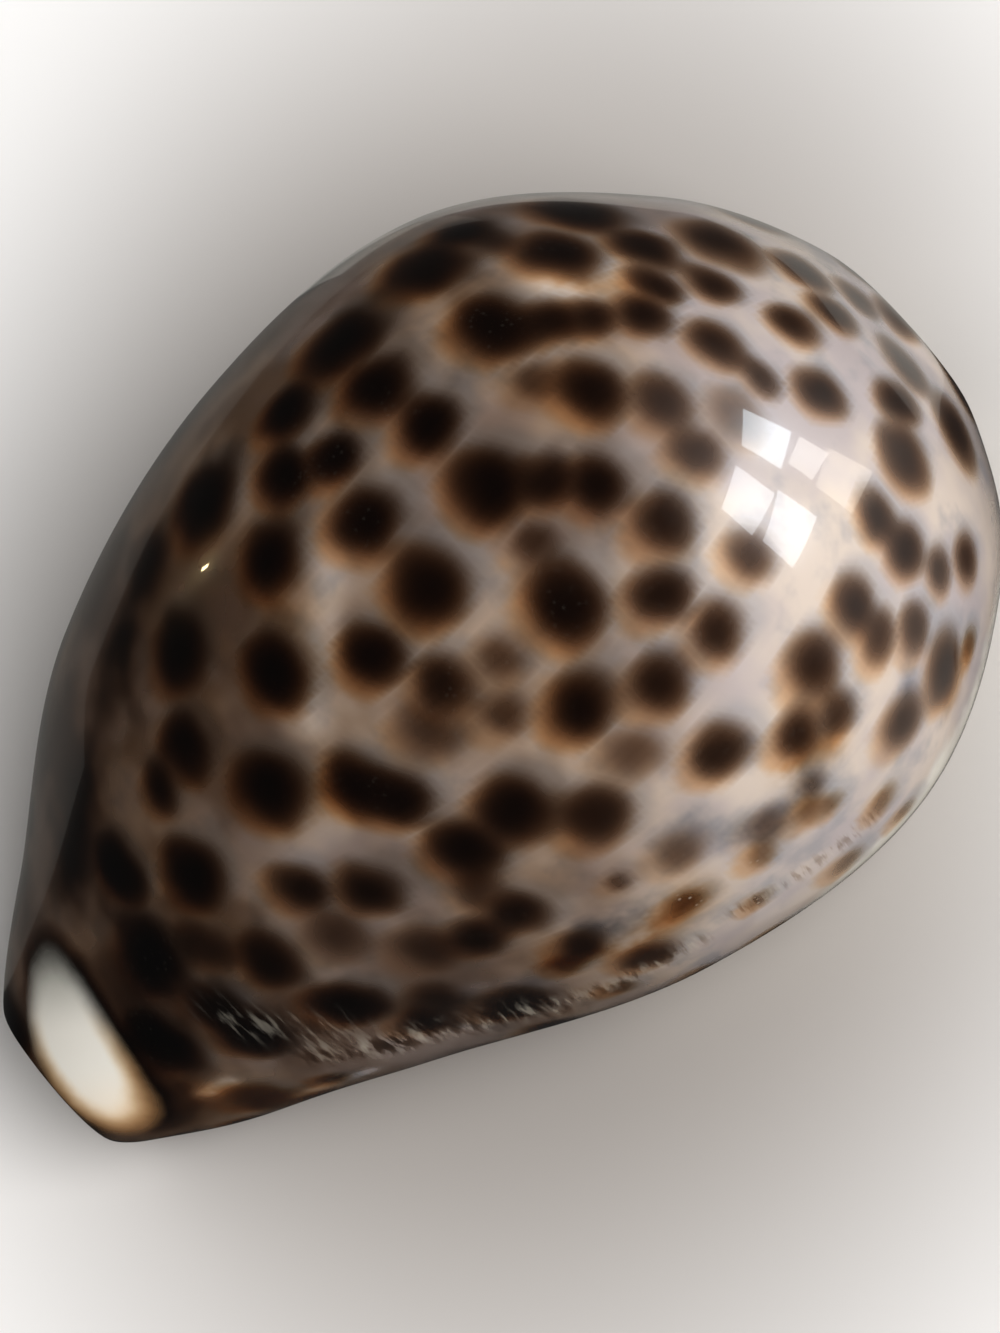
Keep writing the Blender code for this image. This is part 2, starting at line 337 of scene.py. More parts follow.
seenSpots = {
    "dark": (
        (430, 583, 37), (569, 603, 36), (583, 702, 34), (490, 482, 34), (593, 390, 33), (428, 424, 31),
        (367, 521, 33), (372, 656, 31), (428, 266, 42), (560, 253, 40), (342, 340, 40), (380, 385, 31),
        (288, 412, 30), (497, 325, 36), (598, 483, 30), (335, 455, 25), (288, 472, 28), (205, 503, 38),
        (272, 555, 34), (178, 652, 36), (278, 668, 32), (270, 788, 36), (362, 786, 32), (397, 796, 30),
        (515, 810, 36), (467, 851, 35), (195, 872, 34), (150, 955, 38), (350, 1005, 34), (665, 520, 28),
        (660, 595, 28), (722, 632, 29), (722, 750, 30), (662, 685, 30), (720, 345, 29), (713, 283, 27),
        (797, 325, 26), (835, 313, 28), (803, 270, 28), (722, 242, 42), (648, 248, 34), (657, 283, 26),
        (646, 313, 28), (822, 393, 29), (898, 400, 28), (904, 455, 32), (956, 430, 38), (875, 513, 28),
        (906, 548, 29), (815, 668, 31), (855, 603, 29), (797, 733, 27), (945, 665, 34), (580, 212, 44),
        (463, 232, 30), (120, 870, 30), (165, 1045, 34), (250, 1035, 34),
    ),
    "brown": (
        (447, 683, 28), (600, 818, 31), (545, 478, 25), (550, 320, 26), (592, 315, 26),
        (665, 400, 30), (697, 452, 28), (748, 552, 25), (372, 887, 30), (300, 888, 27), (270, 960, 32),
        (480, 935, 28), (520, 913, 28), (838, 708, 24), (880, 635, 25), (915, 632, 23),
        (940, 570, 25), (968, 555, 25), (903, 722, 32), (857, 297, 25), (897, 318, 27), (905, 365, 30),
        (762, 375, 22), (510, 1005, 34), (430, 1020, 30), (580, 945, 26), (650, 955, 26), (160, 790, 24),
        (185, 745, 28), (215, 1010, 30),
    ),
    "faint": (
        (502, 657, 22), (500, 715, 24), (538, 380, 22), (535, 545, 22), (430, 730, 30), (205, 945, 28),
        (340, 935, 32), (680, 850, 28), (617, 882, 15), (740, 415, 32), (480, 890, 26), (575, 810, 24),
        (495, 240, 24), (765, 828, 24), (815, 785, 18), (440, 1000, 30), (633, 757, 28),
        (430, 950, 34),
    ),
    "gold": (
        (810, 810, 20), (832, 802, 14), (762, 853, 20), (882, 803, 18), (905, 808, 15), (847, 862, 20),
        (765, 897, 15), (622, 988, 16), (565, 965, 20), (685, 905, 20), (970, 640, 16), (258, 1097, 30),
        (335, 1080, 16),
    ),
}
spots = {
    "strength": {"dark": 1.0, "brown": 0.78, "faint": 0.42, "gold": 0.85},
    # the spots where the photograph can't see
    "seed": 11,
    "tries": 2600,
    "hiddenRadius": (1.2, 2.5),  # mm
    "hiddenStrengths": (1.0, 0.78, 0.42),
    "hiddenOdds": (0.68, 0.2, 0.12),
    "hiddenGap": 1.32,  # least distance between two of them, over the sum of their radii
    "hiddenAbove": 64.0,  # degrees from straight down
    "goldBelow": 82.0,  # the same; below it they are golden brown
    "goldShare": 0.72,  # and smaller by this share
    "seenFacing": 0.1,  # cosine to the camera above which the photograph shows the surface
    # distances from the middle, in radii, at which a spot's pigment begins and is full
    "spread": (1.55, 0.12),
    "rimSpread": (1.45, 0.9),
    "goldShift": 0.95,  # mm towards the front, of the gold layer
    "goldSwell": 1.08,
    "blueShift": -1.05,  # the same of the grey-blue layer, so towards the rear
    "blueSwell": 1.2,
    # the spots pale towards the side that faces the light: partly thinner pigment, partly a painted sheen
    "thinOnLitSideUntil": (-14.0, 0.0),  # mm along the dark side's direction, from the thinnest to the full pigment
    "thinOnLitSideShare": 0.72,  # of the pigment, where it is thinnest
    # waves that bend the outlines
    "warpSeed": 4,
    "warpLengths": (9.0, 6.0, 4.2, 3.1),  # mm
    "warpShare": 0.02,  # their height, over their length
}
# The back darkens towards this side partly through the shell's own brown wash and partly through painted
# shade on the side turned from the light.
darkAndShadedSide = (0.75, -0.62, 0.25)  # direction in which the back's colour deepens
farthest = 8.0  # the largest number stored, which says that a marking is far away

outsideCount = angles.size
outsidePoints = points[:outsideCount]
normals = np.empty(len(points) * 3)
mesh.vertices.foreach_get("normal", normals)
normals = normals.reshape(-1, 3)[:outsideCount]
around = np.degrees(np.abs((angles.ravel() + pi) % (2 * pi) - pi))  # degrees from straight down
columellarSide = angles.ravel() > pi
cameraPlace, _, _, _ = viewAxes(photoView)
tree = BVHTree.FromPolygons(points.tolist(), faces)


# Where the camera's ray through a pixel first meets the shell, in mm; None where it misses.
def onShell(x, y):
    hit, _, _, distance = tree.ray_cast(Vector(cameraPlace), Vector(pixelRay(photoView, x, y)))
    return (np.array(hit), distance) if hit else None


def seenSpotTable():
    table = []
    for kind, marks in seenSpots.items():
        for x, y, halfWidth in marks:
            met = onShell(x, y)
            if met:
                radius = halfWidth * met[1] / photoView["focalPixels"]
                table.append([*met[0], radius, spots["strength"][kind], float(kind == "gold")])
    return table


# Spots where the photograph can't see: random places, each kept if it is clear of those already there.
def hiddenSpotTable(table):
    draw = np.random.default_rng(spots["seed"])
    toCamera = cameraPlace - outsidePoints
    facing = (normals * toCamera).sum(1) / np.linalg.norm(toCamera, axis=1)
    free = np.flatnonzero((facing < spots["seenFacing"]) & (around > spots["hiddenAbove"]))
    taken = list(table)
    for place in draw.choice(free, spots["tries"]):
        low = around[place] < spots["goldBelow"]
        radius = draw.uniform(*spots["hiddenRadius"]) * (spots["goldShare"] if low else 1)
        strength = draw.choice(spots["hiddenStrengths"], p=spots["hiddenOdds"])
        others = np.array(taken)
        gaps = np.linalg.norm(others[:, :3] - outsidePoints[place], axis=1)
        if (gaps > spots["hiddenGap"] * (others[:, 3] + radius)).all():
            taken.append([*outsidePoints[place], radius, strength, float(low)])
    return np.array(taken)


# Waves that bend the spots' outlines: at each point, the sum of sines of a few random directions and phases.
def warpedPoints():
    draw = np.random.default_rng(spots["warpSeed"])
    total = np.zeros_like(outsidePoints)
    for length in spots["warpLengths"]:
        turns = draw.normal(size=(3, 3))
        turns *= 2 * pi / length / np.linalg.norm(turns, axis=0)
        total += np.sin(outsidePoints @ turns + draw.uniform(0, 2 * pi, 3)) * length * spots["warpShare"]
    return outsidePoints + total


# Depth of pigment from all spots: each gives its strength, eased from none at the spread's outer distance
# (in radii) to full at the inner one, and they add up to one less the product of what each leaves bare.
# shift moves every spot along the shell, and swell widens it.
def pigment(table, spread=spots["spread"], shift=0, swell=1):
    bare = np.ones(outsideCount)
    for x, y, z, radius, strength, _ in table:
        distance = np.linalg.norm(bentPoints - [x + shift, y, z], axis=1)
        bare *= 1 - strength * ease(*spread, distance / (radius * swell))
    return 1 - bare


# Stores one number per point, with a given value on the inside wall.
def store(name, values, insideValue):
    attribute = mesh.attributes.new(name, "FLOAT", "POINT")
    full = np.full(len(points), insideValue, np.float32)
    full[:outsideCount] = np.clip(values, 0, farthest).ravel()
    attribute.data.foreach_set("value", full)


bentPoints = warpedPoints()
table = hiddenSpotTable(seenSpotTable())
# The pigment is thinner where the photograph shows it paler, away from the dark side: partly the shell's own
# pigment, partly a painted sheen on the side towards the light.
thinOnLitSide = ease(*spots["thinOnLitSideUntil"], table[:, :3] @ np.array(darkAndShadedSide))
table[:, 4] *= spots["thinOnLitSideShare"] + (1 - spots["thinOnLitSideShare"]) * thinOnLitSide
golden = table[:, 5] > 0
store("spot", pigment(table[~golden]), 0)
store("spotGolden", pigment(table[golden]), 0)
store("rimGold", pigment(table, spots["rimSpread"], spots["goldShift"], spots["goldSwell"]), 0)
store("rimBlue", pigment(table, spots["rimSpread"], spots["blueShift"], spots["blueSwell"]), 0)
print("spots laid out:", len(table))

# The zones: the white base with its margins, the bare tip at the front, the brown wash and painted shade that
# deepen towards one side, and broad strokes of colour, painted shade and painted light read in the
# photograph, in its pixels.

zones = {
    # degrees from straight down below which the shell is white, at the shape's stations
    "whiteBelowColumellar": (72, 78, 88, 90, 80, 60, 52, 50, 50),
    "whiteBelowLabral": (60, 60, 62, 64, 64, 60, 52, 50, 50),
    "whiteSoftness": 14.0,
    "tipPixels": ((50, 958), (132, 1126)),  # the two ends of the bare tip's long axis in the photograph
    "tipHalfWidth": 3.9,  # mm, across that axis
    "tipRearReach": 0.6,  # of that, before and behind the middle, where the border comes in
    # mm along the dark side's direction where each step of the brown wash and painted shade begins and ends,
    # and its depth
    "washAndShadeSteps": ((-16.0, -3.0, 0.72), (6.0, 28.0, 1.1)),
}
# ends of each stroke, its half width, and its amount
strokes = {
    # Positive amounts darken: partly the shell's own wash, partly painted shade and a painted dark reflection
    # along the left flank. Negative amounts pale: partly the shell's light lanes, partly painted light along
    # the dim top edge.
    "washAndShade": (
        ((440, 290), (330, 380), 50, 0.5),
        ((105, 700), (150, 560), 26, 2.0),
        ((70, 870), (85, 780), 26, 1.2),
        ((560, 965), (300, 1015), 50, 0.4),
        ((330, 560), (312, 720), 26, -0.75),
        ((300, 860), (330, 820), 26, -0.4),
        ((860, 420), (780, 620), 40, -0.3),
        ((150, 1000), (180, 1120), 40, 0.8),
        ((60, 880), (90, 760), 40, 0.5),
        ((560, 285), (650, 285), 36, -0.9),
        ((460, 212), (700, 205), 14, -0.5),
        ((205, 1093), (228, 1083), 14, -2.0),
        ((300, 1095), (372, 1070), 8, -1.6),
    ),
    "blue": (
        ((455, 370), (490, 375), 30, 0.5),
        ((380, 300), (360, 330), 22, 0.6),
        ((600, 520), (625, 530), 22, 0.6),
        ((805, 775), (800, 800), 22, 1.0),
        ((765, 825), (735, 835), 24, 1.0),
        ((590, 930), (640, 915), 26, 1.0),
        ((450, 1000), (520, 985), 24, 0.7),
        ((690, 820), (660, 840), 20, 0.6),
        ((900, 700), (905, 690), 18, 0.8),
        ((230, 1000), (250, 960), 26, 0.6),
    ),
    "amber": (
        ((200, 1095), (300, 1095), 34, 1.0),
        ((640, 290), (560, 285), 26, 0.6),
        ((690, 900), (640, 945), 26, 0.9),
        ((560, 960), (600, 950), 16, 1.0),
        ((830, 745), (790, 765), 18, 0.8),
        ((300, 660), (270, 560), 40, 0.5),
        ((340, 790), (310, 800), 30, 0.5),
        ((965, 660), (950, 700), 16, 0.7),
    ),
    "hairs": (
        ((560, 1005), (400, 1042), 26, 1.0),
        ((385, 1045), (320, 1055), 24, 1.0),
        ((600, 990), (690, 945), 16, 0.7),
        ((740, 910), (870, 820), 12, 0.5),
        ((230, 1020), (330, 1030), 24, 0.6),
    ),
}


def storeZones():
    edge = np.where(
        columellarSide,
        along(zones["whiteBelowColumellar"], stations.ravel()),
        along(zones["whiteBelowLabral"], stations.ravel()),
    )
    store("white", 1 - ease(-zones["whiteSoftness"], zones["whiteSoftness"], around - edge), 1)
    first, last = (onShell(*pixel)[0] for pixel in zones["tipPixels"])
    middle, reach = (first + last) / 2, np.linalg.norm(last - first) / 2
    axis = (last - first) / (2 * reach)
    offset = outsidePoints - middle
    lengthwise = offset @ axis
    across = np.linalg.norm(offset - lengthwise[:, None] * axis, axis=1)
    store("tip", np.hypot(lengthwise / reach, across / zones["tipHalfWidth"]), farthest)
    # 0 at the tip's upper end, painted grey shade there, to 1 at its lower end, where it turns cream and
    # peach.
    store("tipWarmthAndShade", 0.5 + 0.5 * lengthwise / reach, 0)
    rearward = zones["tipRearReach"]
    store("tipRear", ease(rearward, -rearward, offset[:, 0] / zones["tipHalfWidth"]), 0)
    # The brown wash and painted shade, in steps towards the side turned from the light, plus its strokes.
    towardsDarkAndShade = outsidePoints @ np.array(darkAndShadedSide)
    washAndShade = sum(depth * ease(first, last, towardsDarkAndShade) for first, last, depth in zones["washAndShadeSteps"])
    store("washAndShade", washAndShade + strokeField("washAndShade"), 0)
    for kind in ("blue", "amber", "hairs"):
        store(kind, strokeField(kind), 0)


# The sum of the strokes of one kind, each its amount times exp(-(distance to it / half width)^2).
def strokeField(kind):
    total = np.zeros(outsideCount)
    for first, last, halfWidth, amount in strokes[kind]:
        (start, distance), (end, _) = onShell(*first), onShell(*last)
        way = end - start
        share = np.clip((outsidePoints - start) @ way / (way @ way), 0, 1)
        gap = np.linalg.norm(outsidePoints - start - share[:, None] * way, axis=1)
        total += amount * np.exp(-((gap / (halfWidth * distance / photoView["focalPixels"])) ** 2))
    return total


storeZones()
print("zones stored")


# One value in a material's nodes: arithmetic on it adds Math nodes.
class Wire:
    def __init__(self, bench, socket):
        self.bench, self.socket = bench, socket

    def math(self, operation, *values):
        return self.bench.node("ShaderNodeMath", {"operation": operation}, dict(enumerate(values)))

    def __add__(self, other):
        return self.math("ADD", self, other)

    def __sub__(self, other):
        return self.math("SUBTRACT", self, other)

    def __rsub__(self, other):
        return self.math("SUBTRACT", other, self)

    def __mul__(self, other):
        return self.math("MULTIPLY", self, other)

    __radd__ = __add__
    __rmul__ = __mul__

    # 0 at low and 1 at high, eased; low may be the larger.
    def ramp(self, low, high):
        values = {"Value": self, "From Min": low, "From Max": high}
        return self.bench.node("ShaderNodeMapRange", {"interpolation_type": "SMOOTHSTEP"}, values)


# Adds nodes to the tree of a material or world, and fills its shader's inputs.
class Bench:
    def __init__(self, owner, shader="Principled BSDF"):
        owner.use_nodes = True
        self.owner, self.tree = owner, owner.node_tree
        self.shader = self.tree.nodes[shader]

    def node(self, kind, settings=None, values=None, output=0):
        made = self.tree.nodes.new(kind)
        for name, value in (settings or {}).items():
            setattr(made, name, value)
        self.fill(made, values or {})
        return Wire(self, made.outputs[output])

    def fill(self, made, values):
        for name, value in values.items():
            if isinstance(value, Wire):
                self.tree.links.new(value.socket, made.inputs[name])
            else:
                made.inputs[name].default_value = value

    def mix(self, factor, a, b):
        pick = [(*value, 1) if isinstance(value, tuple) else value for value in (a, b)]
        return self.node("ShaderNodeMix", {"data_type": "RGBA"}, {0: factor, 6: pick[0], 7: pick[1]}, 2)

    # A colour seen through a dye: the dye's own colour to the power of its amount, times the colour.
    def dye(self, paint, colour, amount):
        colour = (*colour, 1) if isinstance(colour, tuple) else colour
        tint = self.node("ShaderNodeGamma", None, {"Color": colour, "Gamma": amount})
        return self.node("ShaderNodeVectorMath", {"operation": "MULTIPLY"}, {0: paint, 1: tint})

    def stored(self, name):
        return self.node("ShaderNodeAttribute", {"attribute_name": name}, output="Fac")

    # Noise of some cells to the metre, in the object's own space, turned and stretched where asked.
    def noise(self, scale, detail=3.0, roughness=0.55, turn=None, stretch=None):
        place = self.node("ShaderNodeTexCoord", output="Object")
        if stretch:
            ways = {"Vector": place, "Rotation": turn, "Scale": stretch}
            place = self.node("ShaderNodeMapping", None, ways)
        values = {"Vector": place, "Scale": scale, "Detail": detail, "Roughness": roughness}
        return self.node("ShaderNodeTexNoise", None, values)

    # Distance to the nearest of scattered points, in cells, of some cells to the metre.
    def cells(self, scale):
        place = self.node("ShaderNodeTexCoord", output="Object")
        return self.node("ShaderNodeTexVoronoi", None, {"Vector": place, "Scale": scale})


enamel = {
    "cream": (0.5, 0.42, 0.36),
    "lavender": (0.375, 0.325, 0.32),
    "greyBlue": (0.22, 0.225, 0.245),
    "white": (0.8, 0.755, 0.67),
    # the grey of the bare tip's upper end, a painted shade
    "tipShadedGrey": (0.46, 0.46, 0.41),
    "tipCream": (0.95, 0.92, 0.84),
    "tipPeach": (0.97, 0.84, 0.67),
    # the colour of the pale hairs and of the painted highlight specks
    "paleHairAndHighlight": (0.62, 0.57, 0.47),
    "hairTurn": (0.0, radians(25), radians(12)),
    "hairStretch": (2100.0, 260.0, 320.0),  # cells to the metre
    # dyes: the share of red, green and blue that passes through each at full depth
    "spotDye": (0.018, 0.01, 0.0075),
    "goldSpotDye": (0.2, 0.12, 0.06),
    "goldDye": (0.88, 0.64, 0.42),
    # the brown wash, which also carries the painted shade and painted dark reflection; the dark hairs use it
    # too
    "washAndShadeDye": (0.34, 0.265, 0.205),
    "blueDye": (0.42, 0.46, 0.53),
    "amberDye": (0.6, 0.36, 0.18),
    "borderDye": (0.08, 0.045, 0.028),
    # cells to the metre of each noise
    "cells": {
        "broad": 90,
        "mottle": 260,
        "blotch": 150,
        "speckHighlight": 1700,
        "speckHighlightPatch": 130,
        "wave": 55,
        "ripple": 900,
    },
    # the values at which each part begins and is full
    "ramps": {
        "cream": (0.4, 0.6),
        "greyPatch": (0.5, 0.72),
        "white": (0.35, 0.75),
        "unpainted": (0.45, 0.95),
        "blotch": (0.35, 0.65),
        "stroke": (0.3, 0.6),
        "darkHair": (0.5, 0.36),
        "paleHair": (0.48, 0.72),
        "speckHighlight": (0.3, 0.05),
        "speckHighlightPatch": (0.5, 0.62),
        "tipBorder": (1.5, 1.1),
        "tipCream": (0.0, 0.4),
        "tipPeach": (0.55, 1.0),
        "tipStain": (0.65, 1.1),
        "tipStainWarm": (0.2, 0.7),
        "tip": (1.24, 0.72),
    },
    # how much there is of each part, and how far a noise moves an edge
    "greyPatch": 0.5,
    "whiteWander": 0.5,
    "rimBlue": 0.7,
    "rimGold": 1.3,
    "spotEdge": 0.35,
    "blotch": (0.6, 0.7),  # its swing and its least
    "paleHair": 0.42,
    # how much there is of the pale specks, which are painted highlights
    "speckHighlight": (0.5, 0.01),  # on the golden spots, and everywhere
    "tipWander": 0.2,
    "tipBorder": (0.85, 0.15),  # towards the rear, and all round
    "ripple": 0.02,
    "hairRidge": 0.03,
    "roughness": 0.16,
    "roughnessSwing": 0.08,
    "ior": 1.53,
    "coatRoughness": 0.02,
    "coatIor": 1.5,
    "waviness": 0.03,  # bump strength
    "waveHeight": 0.004,  # m
}


# The paint from the ground up: ground colours, white base, wash and strokes with their painted shade and
# light, spots, hairs, specks that are painted highlights, and the bare tip with painted shade at its upper
# end.
def enamelMaterial():
    bench = Bench(bpy.data.materials.new("enamel"))
    cells, ramps = enamel["cells"], enamel["ramps"]
    broad, mottle = bench.noise(cells["broad"]), bench.noise(cells["mottle"])
    spot, golden = bench.stored("spot"), bench.stored("spotGolden")
    white, washAndShade, tip = bench.stored("white"), bench.stored("washAndShade"), bench.stored("tip")

    ground = bench.mix(broad.ramp(*ramps["cream"]), enamel["lavender"], enamel["cream"])
    patches = mottle.ramp(*ramps["greyPatch"]) * enamel["greyPatch"]
    ground = bench.mix(patches, ground, enamel["greyBlue"])
    whiteness = (white + (mottle - 0.5) * enamel["whiteWander"]).ramp(*ramps["white"])
    ground = bench.mix(whiteness, ground, enamel["white"])
    back = 1 - white.ramp(*ramps["unpainted"])

    paint = bench.mix(bench.stored("rimBlue") * back * enamel["rimBlue"], ground, enamel["greyBlue"])
    swing, least = enamel["blotch"]
    blotchy = bench.noise(cells["blotch"], 2.0).ramp(*ramps["blotch"]) * swing + least
    # The brown wash with its painted shade and painted dark reflection, paled by painted light where its
    # strokes are negative.
    paint = bench.dye(paint, enamel["washAndShadeDye"], washAndShade * back * blotchy)
    patchy = mottle.ramp(*ramps["stroke"])
    paint = bench.dye(paint, enamel["blueDye"], bench.stored("blue") * patchy)
    paint = bench.dye(paint, enamel["amberDye"], bench.stored("amber") * patchy)
    paint = bench.dye(paint, enamel["goldDye"], bench.stored("rimGold") * back * enamel["rimGold"])
    paint = bench.dye(paint, enamel["amberDye"], spot * (1 - spot) * back * enamel["spotEdge"])
    paint = bench.dye(paint, enamel["goldSpotDye"], golden * back)
    paint = bench.dye(paint, enamel["spotDye"], spot * back)

    streaks = bench.noise(1.0, 2.0, turn=enamel["hairTurn"], stretch=enamel["hairStretch"])
    hairs = bench.stored("hairs")
    paint = bench.dye(paint, enamel["washAndShadeDye"], streaks.ramp(*ramps["darkHair"]) * hairs)
    paleHairs = streaks.ramp(*ramps["paleHair"]) * hairs * enamel["paleHair"]
    paint = bench.mix(paleHairs, paint, enamel["paleHairAndHighlight"])
    # Pale specks, mostly on the golden spots: painted highlights.
    speckHighlights = bench.cells(cells["speckHighlight"]).ramp(*ramps["speckHighlight"])
    speckHighlights *= bench.noise(cells["speckHighlightPatch"], 1.0).ramp(*ramps["speckHighlightPatch"])
    onGold, everywhere = enamel["speckHighlight"]
    paint = bench.mix(speckHighlights * (golden * onGold + everywhere), paint, enamel["paleHairAndHighlight"])

    tipEdge = tip + (mottle - 0.5) * enamel["tipWander"]
    tipWarmthAndShade, tipRear = bench.stored("tipWarmthAndShade"), bench.stored("tipRear")
    rearward, allRound = enamel["tipBorder"]
    border = tipEdge.ramp(*ramps["tipBorder"]) * (tipRear * rearward + allRound)
    paint = bench.dye(paint, enamel["borderDye"], border)
    # The bare tip: grey painted shade at its upper end, then cream, then peach.
    bare = bench.mix(tipWarmthAndShade.ramp(*ramps["tipCream"]), enamel["tipShadedGrey"], enamel["tipCream"])
    bare = bench.mix(tipWarmthAndShade.ramp(*ramps["tipPeach"]), bare, enamel["tipPeach"])
    stain = tipEdge.ramp(*ramps["tipStain"]) * tipWarmthAndShade.ramp(*ramps["tipStainWarm"])
    bare = bench.dye(bare, enamel["amberDye"], stain)
    paint = bench.mix(tipEdge.ramp(*ramps["tip"]), paint, bare)

    waves = bench.noise(cells["wave"], 2.0) + bench.noise(cells["ripple"], 2.0) * enamel["ripple"]
    waves = waves + streaks * hairs * enamel["hairRidge"]
    bump = {"Strength": enamel["waviness"], "Distance": enamel["waveHeight"], "Height": waves}
    look = {
        "Base Color": paint,
        "Roughness": mottle * enamel["roughnessSwing"] + enamel["roughness"],
        "Normal": bench.node("ShaderNodeBump", None, bump),
        "IOR": enamel["ior"],
        "Coat Weight": 1.0,
        "Coat Roughness": enamel["coatRoughness"],
        "Coat IOR": enamel["coatIor"],
    }
    bench.fill(bench.shader, look)
    return bench.owner


mesh.materials.append(enamelMaterial())
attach(cowrie, "root")
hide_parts("shell")
print("enamel painted")

# The floor and the light

studio = {
    "floorHalfWidth": 1.6,  # m
    "floorColour": (0.93, 0.93, 0.93),
    # The floor carries a painted shadow: darker round the shell, paling outwards.
    "floorPaintedShadow": (0.36, 0.335, 0.315),  # the photograph's backdrop is darker round the shell
    "floorShadeMiddle": (-0.005, -0.005, 0.0),  # m
    "floorShadeTurn": (0.0, 0.0, radians(141)),  # its short axis lies across the photograph
    "floorShadeScale": (0.8, 1.15, 1.0),
    "floorShade": (0.024, 0.08),  # m from that middle where the floor begins to pale and where it is palest
    "floorPatchCells": 12,  # to the metre, of the noise that moves the shade's edge
    "floorPatchDepth": 0.01,  # m, how far it moves it
    "floorRoughness": 0.6,
    "worldColour": (1.0, 0.97, 0.94),
    "worldStrength": 0.02,
    "glowPixel": (800, 520),  # where the photograph shows the window's haze mirrored
    "glowSpread": (0.7, 1.0),  # cosines to its direction where it begins and is full
    "glowRadiance": 0.25,
    "windowDistance": 0.8,  # m from the shell
    "paneShare": 0.88,  # of the room between the panes' bars
    # The window's panes as the photograph shows them mirrored in the shell: the middle pixel of each, the
    # way in pixels to the middle of its right and of its lower side, its radiance and its colour.
    "panes": (
        ((766, 438), (25, 12), (-6, 21), 6.2, (0.8, 0.92, 1.0)),
        ((809, 458), (15, 8), (-8, 18), 3.6, (1.0, 0.97, 0.9)),
        ((845, 483), (20, 15), (-10, 25), 2.2, (1.0, 0.9, 0.76)),
        ((746, 497), (18, 8), (-8, 26), 5.2, (0.88, 0.94, 1.0)),
        ((786, 528), (16, 16), (-11, 30), 5.2, (0.88, 0.93, 1.0)),
    ),
    "glintPixel": (205, 567),  # where the shell mirrors a small warm lamp
    "glintSize": (0.011, 0.024),  # m
    "glintRadiance": 40.0,
    "glintColour": (1.0, 0.8, 0.4),
    # place and size in m, radiance, colour
    "boxes": {
        "softbox": ((-0.55, 0.75, 0.9), (1.2, 1.2), 6.3, (1.0, 0.98, 0.96)),
        "fill": ((0.3, -0.8, 0.8), (1.0, 1.0), 1.6, (1.0, 0.98, 0.96)),
    },
    # side of the shell, from and to out from its middle and across that, in m, and the radiance
    "cards": (
        ((0.68, -0.73), (0.02, 0.13), (-0.085, 0.022), 0.08),
        ((-0.67, -0.68), (0.032, 0.06), (-0.05, 0.05), 0.25),
        ((-0.1, 1.0), (0.03, 0.05), (0.0, 0.055), 0.15),
    ),
    "cardColour": (1.0, 0.96, 0.88),
}


def makeFloor():
    half = studio["floorHalfWidth"]
    corners = [(-half, -half, 0), (half, -half, 0), (half, half, 0), (-half, half, 0)]
    board = bpy.data.meshes.new("floor")
    board.from_pydata(corners, [], [(0, 1, 2, 3)])
    bench = Bench(bpy.data.materials.new("paleFloor"))
    # The painted shadow round the shell, paling with the distance from an ellipse's middle.
    ellipse = {
        "Vector": bench.node("ShaderNodeTexCoord", output="Object"),
        "Location": studio["floorShadeMiddle"],
        "Rotation": studio["floorShadeTurn"],
        "Scale": studio["floorShadeScale"],
    }
    place = bench.node("ShaderNodeMapping", {"vector_type": "TEXTURE"}, ellipse)
    distance = bench.node("ShaderNodeVectorMath", {"operation": "LENGTH"}, {0: place}, "Value")
    patches = (bench.noise(studio["floorPatchCells"], 1.0) - 0.5) * studio["floorPatchDepth"]
    paleness = (distance + patches).ramp(*studio["floorShade"])
    shade = bench.mix(paleness, studio["floorPaintedShadow"], studio["floorColour"])
    bench.fill(bench.shader, {"Base Color": shade, "Roughness": studio["floorRoughness"]})
    board.materials.append(bench.owner)
    floor = bpy.data.objects.new("floor", board)
    scene.collection.objects.link(floor)
    floor.visible_glossy = False


# A flat light whose side up lies towards upright; an area light's radiance is its power / (pi * its area).
def addLight(name, place, towards, upright, size, radiance, colour):
    lamp = bpy.data.lights.new(name, "AREA")
    lamp.shape = "RECTANGLE"
    lamp.size, lamp.size_y = size
    lamp.energy, lamp.color = radiance * pi * size[0] * size[1], colour
    light = bpy.data.objects.new(name, lamp)
    scene.collection.objects.link(light)
    back = (place - towards).normalized()
    right = upright.cross(back).normalized()
    turn = Matrix([right, back.cross(right), back]).transposed().to_4x4()
    light.matrix_world = Matrix.Translation(place) @ turn
    light.visible_camera = False
    return light


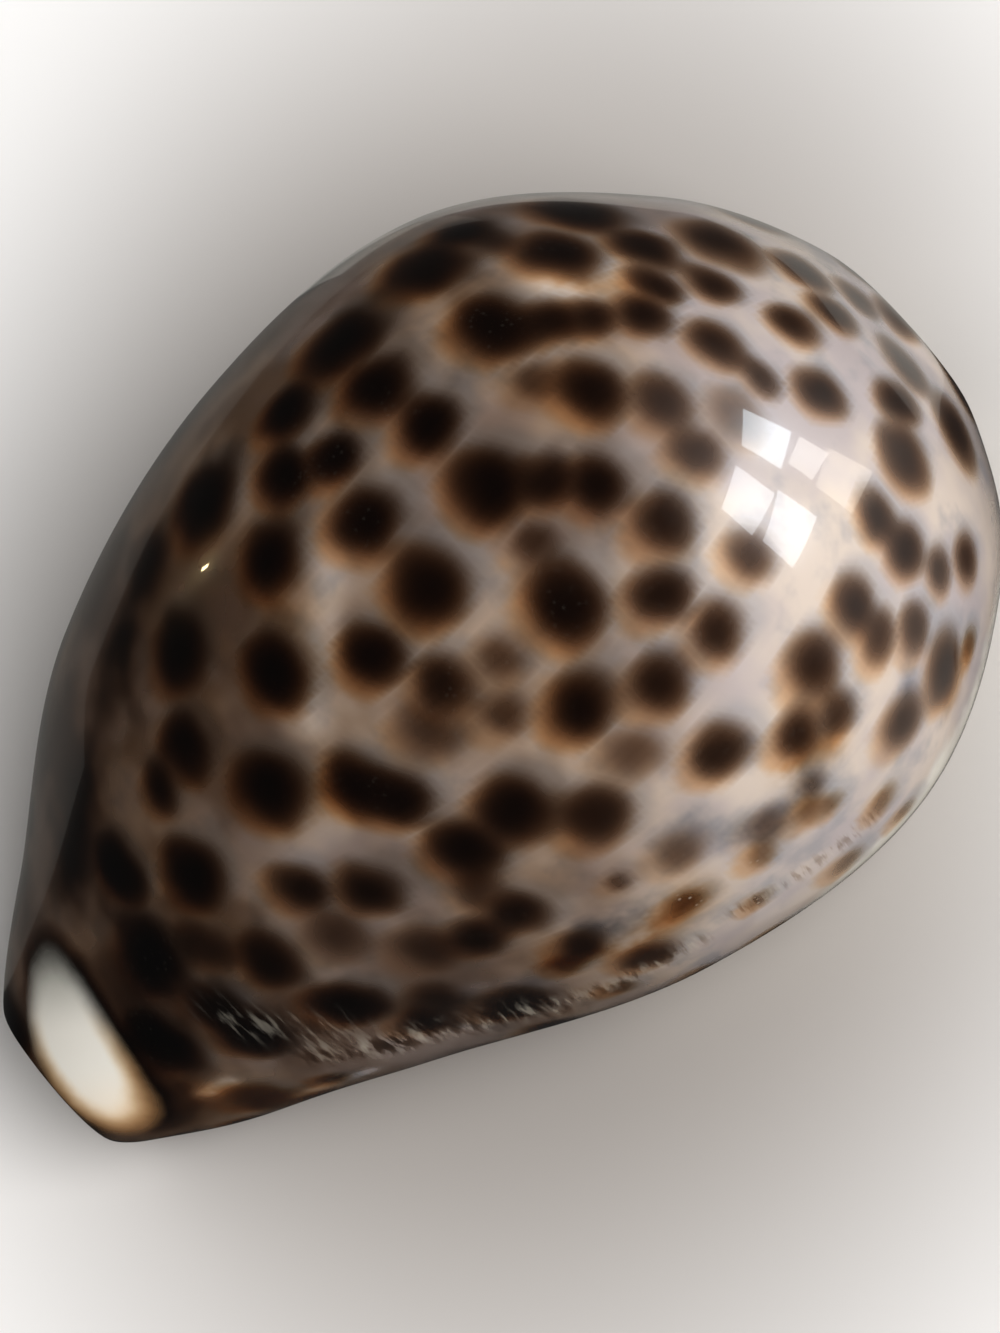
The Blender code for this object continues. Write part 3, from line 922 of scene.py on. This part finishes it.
# The point at the window's distance that the camera sees mirrored in the shell at a pixel.
def mirrored(pixel):
    ray = Vector(pixelRay(photoView, *pixel))
    hit, normal, _, _ = tree.ray_cast(Vector(cameraPlace), ray)
    return hit * mm + ray.reflect(normal).normalized() * studio["windowDistance"]


def makeWindow():
    for number, (middle, toRight, toBottom, radiance, colour) in enumerate(studio["panes"]):
        middle, toRight, toBottom = (np.array(pixels) for pixels in (middle, toRight, toBottom))
        across = mirrored(middle + toRight) - mirrored(middle - toRight)
        down = mirrored(middle + toBottom) - mirrored(middle - toBottom)
        size = [side.length * studio["paneShare"] for side in (across, down)]
        addLight(f"pane_{number}", mirrored(middle), Vector(), down, size, radiance, colour)


# The room: dim all round, and brighter towards the window, eased over the cosine to its direction.
def makeRoom():
    bench = Bench(bpy.data.worlds.new("room"), "Background")
    window = tuple(mirrored(studio["glowPixel"]).normalized())
    ends = {0: bench.node("ShaderNodeTexCoord"), 1: window}
    towards = bench.node("ShaderNodeVectorMath", {"operation": "DOT_PRODUCT"}, ends, "Value")
    strength = towards.ramp(*studio["glowSpread"]) * studio["glowRadiance"] + studio["worldStrength"]
    bench.fill(bench.shader, {"Color": (*studio["worldColour"], 1), "Strength": strength})
    scene.world = bench.owner


# The lit table round the shell, as the shell mirrors it near its outline: cards that only reflections see.
def makeCards():
    upright = Vector((0, 0, 1))
    for number, (side, (near, far), (first, last), radiance) in enumerate(studio["cards"]):
        side = Vector((*side, 0)).normalized()
        place = side * (near + far) / 2 + upright.cross(side) * (first + last) / 2 + upright * mm
        size = (last - first, far - near)
        card = addLight(f"card_{number}", place, place + upright, side, size, radiance, studio["cardColour"])
        card.visible_diffuse = False


def makeLights():
    upright = Vector((0, 0, 1))
    for name, (place, size, radiance, colour) in studio["boxes"].items():
        box = addLight(name, Vector(place), Vector(), upright, size, radiance, colour)
        box.visible_glossy = False  # it lights the shell, but its reflection would hide the spots
    size, radiance, colour = (studio[name] for name in ("glintSize", "glintRadiance", "glintColour"))
    addLight("glint", mirrored(studio["glintPixel"]), Vector(), upright, size, radiance, colour)


makeFloor()
makeRoom()
makeWindow()
makeLights()
makeCards()
scene.view_settings.view_transform = "Standard"
print("floor and lights placed")
